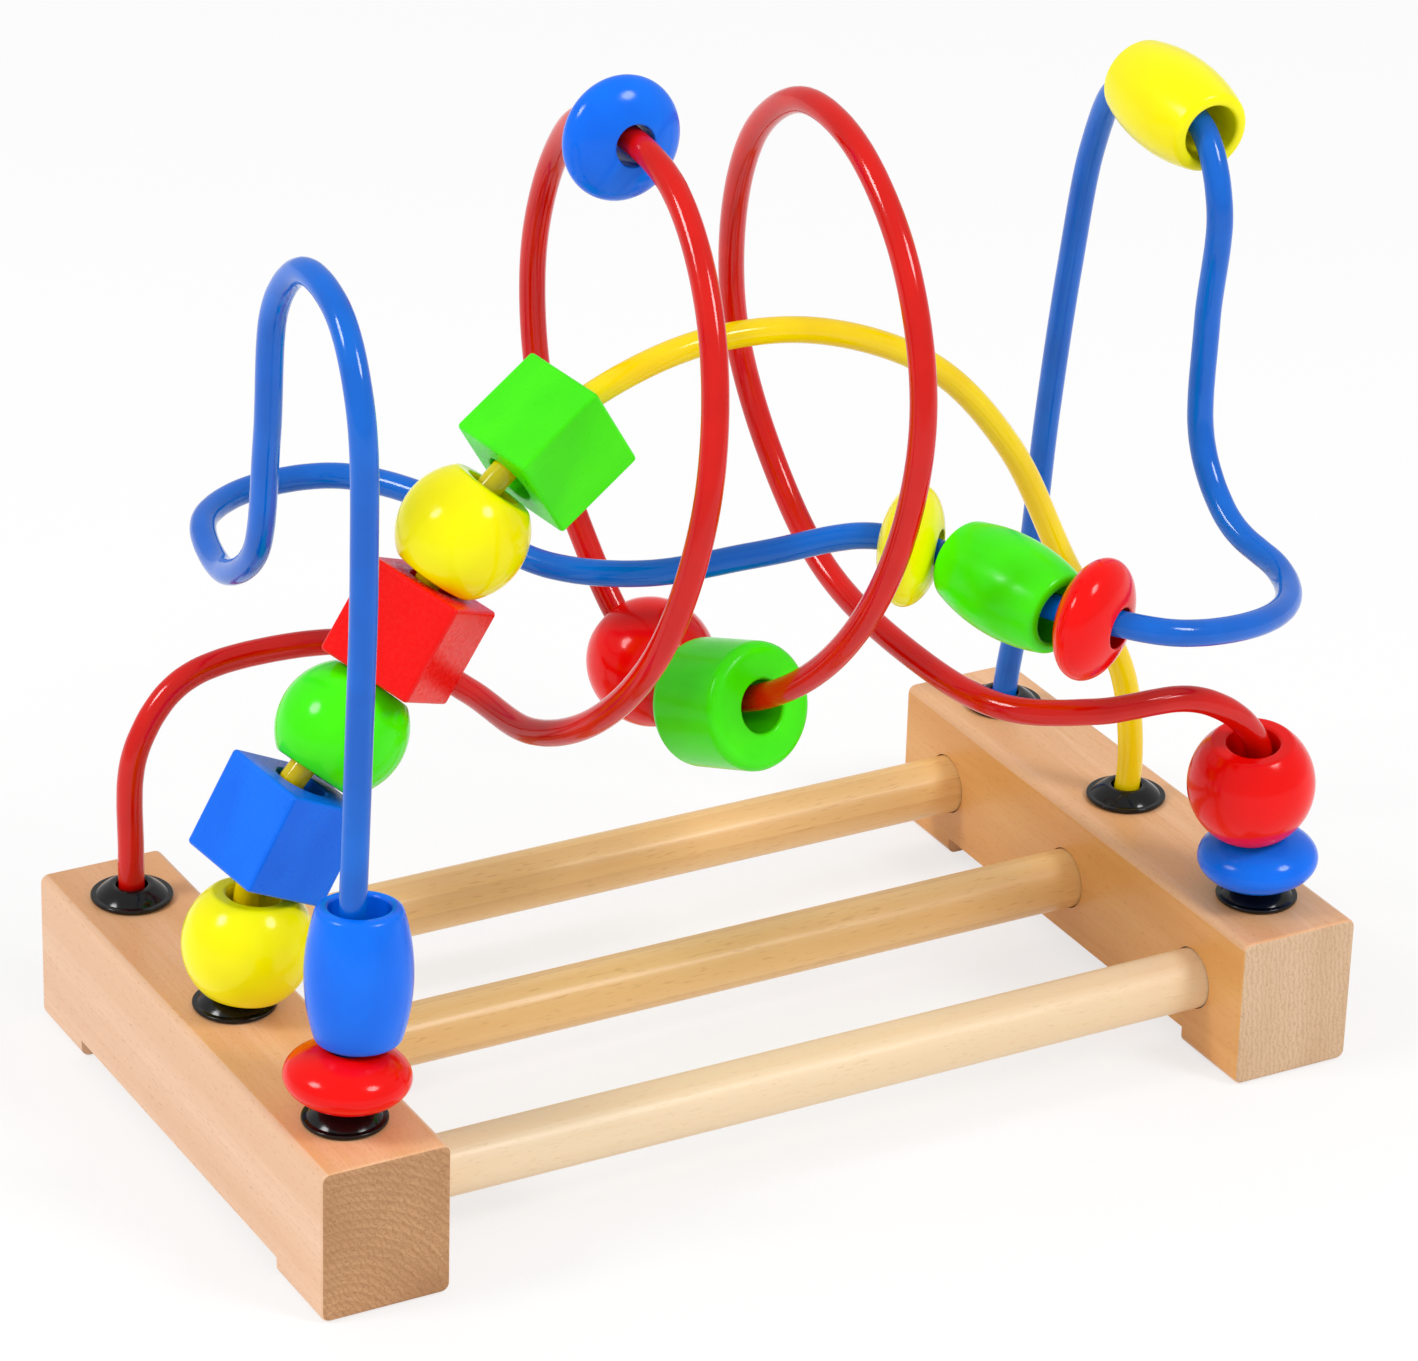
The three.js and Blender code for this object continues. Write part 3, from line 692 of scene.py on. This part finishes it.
def beadSeat(node):
    # centre, bore direction and side direction of a packed bead, as one matrix
    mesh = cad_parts[node].data
    bm = bmesh.new()
    bm.from_mesh(mesh)
    bmesh.ops.remove_doubles(bm, verts=bm.verts, dist=weldReach)
    centre = sum((v.co for v in bm.verts), Vector()) / len(bm.verts)
    turn = np.zeros((3, 3))
    for face in bm.faces:
        if (face.calc_center_median() - centre).dot(face.normal) < 0:
            turn += face.calc_area() * np.outer(face.normal, face.normal)
    axis = Vector(np.linalg.eigh(turn)[1][:, 0])
    if axis.z < 0:
        axis.negate()
    across = [face for face in bm.faces
              if abs(face.normal.dot(axis)) < squareEnough
              and (face.calc_center_median() - centre).dot(face.normal) > 0]
    side = max(across, key=lambda face: (round(face.calc_area(), 9), -face.index)).normal if across \
        else axis.orthogonal()
    side = (side - axis * side.dot(axis)).normalized()
    bm.free()
    return Matrix((side, axis.cross(side), axis)).transposed().to_4x4(), centre


def turnedBead(kind, shape):
    bore, half = shape["bore"] * mm, shape["half"] * mm
    face, radius = shape["faceRadius"] * mm, shape["radius"] * mm
    # the belly is one arc from face to face; a ball's or disc's is about its middle and is then
    # squeezed to length
    centre, reach = 0, math.sqrt(max(radius ** 2 - face ** 2, 0))
    if kind == "barrel":
        centre, reach = (radius ** 2 - face ** 2 - half ** 2) / (2 * (radius - face)), half
    if kind == "drum":
        reach = half
    bm = bmesh.new()
    chain = drawOutline(bm, [(bore, -reach), (face, -reach)])
    if kind == "drum":
        last = bmesh.ops.extrude_vert_indiv(bm, verts=[chain[-1]])["verts"][0]
        last.co = (face, 0, reach)
    else:
        sweep = 2 * math.atan2(reach, face - centre)
        last = sweepArc(bm, chain[-1], (centre, 0), -sweep, shape["steps"])
    upper = bmesh.ops.extrude_vert_indiv(bm, verts=[last])["verts"][0]
    upper.co = (bore, 0, reach)
    bm.edges.new((upper, chain[0]))
    bmesh.ops.scale(bm, vec=(1, 1, half / reach), verts=bm.verts)
    spinRound(bm, beadShape["sides"])
    if shape["rim"] > 0:
        softenRings(bm, face, shape["rim"] * mm, 6)
    softenRings(bm, bore, shape["mouth"] * mm, 5)
    return bm


def cubeBead(shape):
    edge, bore = shape["edge"] * mm, shape["bore"] * mm
    bm = bmesh.new()
    bmesh.ops.create_cube(bm, size=edge)
    bmesh.ops.bevel(bm, geom=bm.edges[:], offset=shape["round"] * mm, segments=5,
                    profile=0.5, affect="EDGES", material=-1)
    drill = bmesh.new()
    addRod(drill, Vector((0, 0, -edge)), Vector((0, 0, edge)), bore, shape["boreSides"])
    bm = cutAway(bm, drill)
    softenRings(bm, bore, shape["mouth"] * mm, 3, 60)
    return bm


def makeBead(name):
    colour, finish = beadColours[name]
    kind = name.split("_")[1]
    turn, centre = beadSeat(name)
    seat = Matrix.Translation(centre) @ turn
    shape = beadShape[kind]
    bm = cubeBead(shape) if kind == "cube" else turnedBead(kind, shape)
    bmesh.ops.transform(bm, matrix=seat, verts=bm.verts)
    material = makePaint(name + "_paint", paintLook[colour], finishLook[finish], paintPattern, seat)
    return makePiece(name + "_bead", bm, name, [name], [material],
                     beadShape["sharpAngle"])


for bead in beadColours:
    makeBead(bead)
print("beads made")


# floor and light, metres
studioLook = {
    "floor": tone(250, 250, 250), "floorSize": 4.0, "floorDrop": 0.2 * mm, "floorRoughness": 0.9,
    "floorGlow": 0.7, "sky": 0.62,
    "lamps": (
        {"name": "leftBox", "place": (-1.55, 0.20, 1.47), "size": 0.6, "power": 16.0},
        {"name": "rightBox", "place": (0.79, -1.24, 1.59), "size": 0.6, "power": 15.0},
    ),
    "aim": (0, 0, 0.09),
}


def addFloor(look):
    bm = bmesh.new()
    bmesh.ops.create_grid(bm, x_segments=2, y_segments=2, size=look["floorSize"])
    bmesh.ops.translate(bm, vec=(0, 0, -look["floorDrop"]), verts=bm.verts)
    mesh = bpy.data.meshes.new("floor")
    bm.to_mesh(mesh)
    bm.free()
    material, tree, shader = startMaterial("paleFloor")
    shader.inputs["Base Color"].default_value = look["floor"]
    shader.inputs["Roughness"].default_value = look["floorRoughness"]
    shader.inputs["Specular IOR Level"].default_value = 0.0
    # the camera and mirror-like rays see a floor that is part glow, so that it stays white
    paths = addNode(tree, "ShaderNodeLightPath")
    seen = addNode(tree, "ShaderNodeMath", operation="MAXIMUM")
    tree.links.new(paths.outputs["Is Camera Ray"], seen.inputs[0])
    tree.links.new(paths.outputs["Is Glossy Ray"], seen.inputs[1])
    through = addNode(tree, "ShaderNodeMath", operation="MAXIMUM")
    tree.links.new(seen.outputs[0], through.inputs[0])
    tree.links.new(paths.outputs["Is Transmission Ray"], through.inputs[1])
    share = spread(tree, through.outputs[0], 0, 1, 0, look["floorGlow"])
    glow = addNode(tree, "ShaderNodeEmission", {"Color": (1, 1, 1, 1), "Strength": 1.0})
    mixed = addNode(tree, "ShaderNodeMixShader")
    tree.links.new(share, mixed.inputs[0])
    tree.links.new(shader.outputs[0], mixed.inputs[1])
    tree.links.new(glow.outputs[0], mixed.inputs[2])
    tree.links.new(mixed.outputs[0], tree.nodes["Material Output"].inputs["Surface"])
    mesh.materials.append(material)
    floor = bpy.data.objects.new("floor", mesh)
    scene.collection.objects.link(floor)


def addLamp(lamp, aim):
    data = bpy.data.lights.new(lamp["name"], "AREA")
    data.shape = "DISK"
    data.size = lamp["size"]
    data.energy = lamp["power"]
    light = bpy.data.objects.new(lamp["name"], data)
    light.location = lamp["place"]
    light.rotation_euler = (Vector(aim) - Vector(lamp["place"])).to_track_quat("-Z", "Y").to_euler()
    scene.collection.objects.link(light)


def addSky(strength):
    world = bpy.data.worlds.new("studio")
    world.use_nodes = True
    backdrop = world.node_tree.nodes["Background"]
    backdrop.inputs["Color"].default_value = (1, 1, 1, 1)
    backdrop.inputs["Strength"].default_value = strength
    scene.world = world


addFloor(studioLook)
for lamp in studioLook["lamps"]:
    addLamp(lamp, studioLook["aim"])
addSky(studioLook["sky"])
scene.view_settings.view_transform = "Standard"
print("floor and light ready")
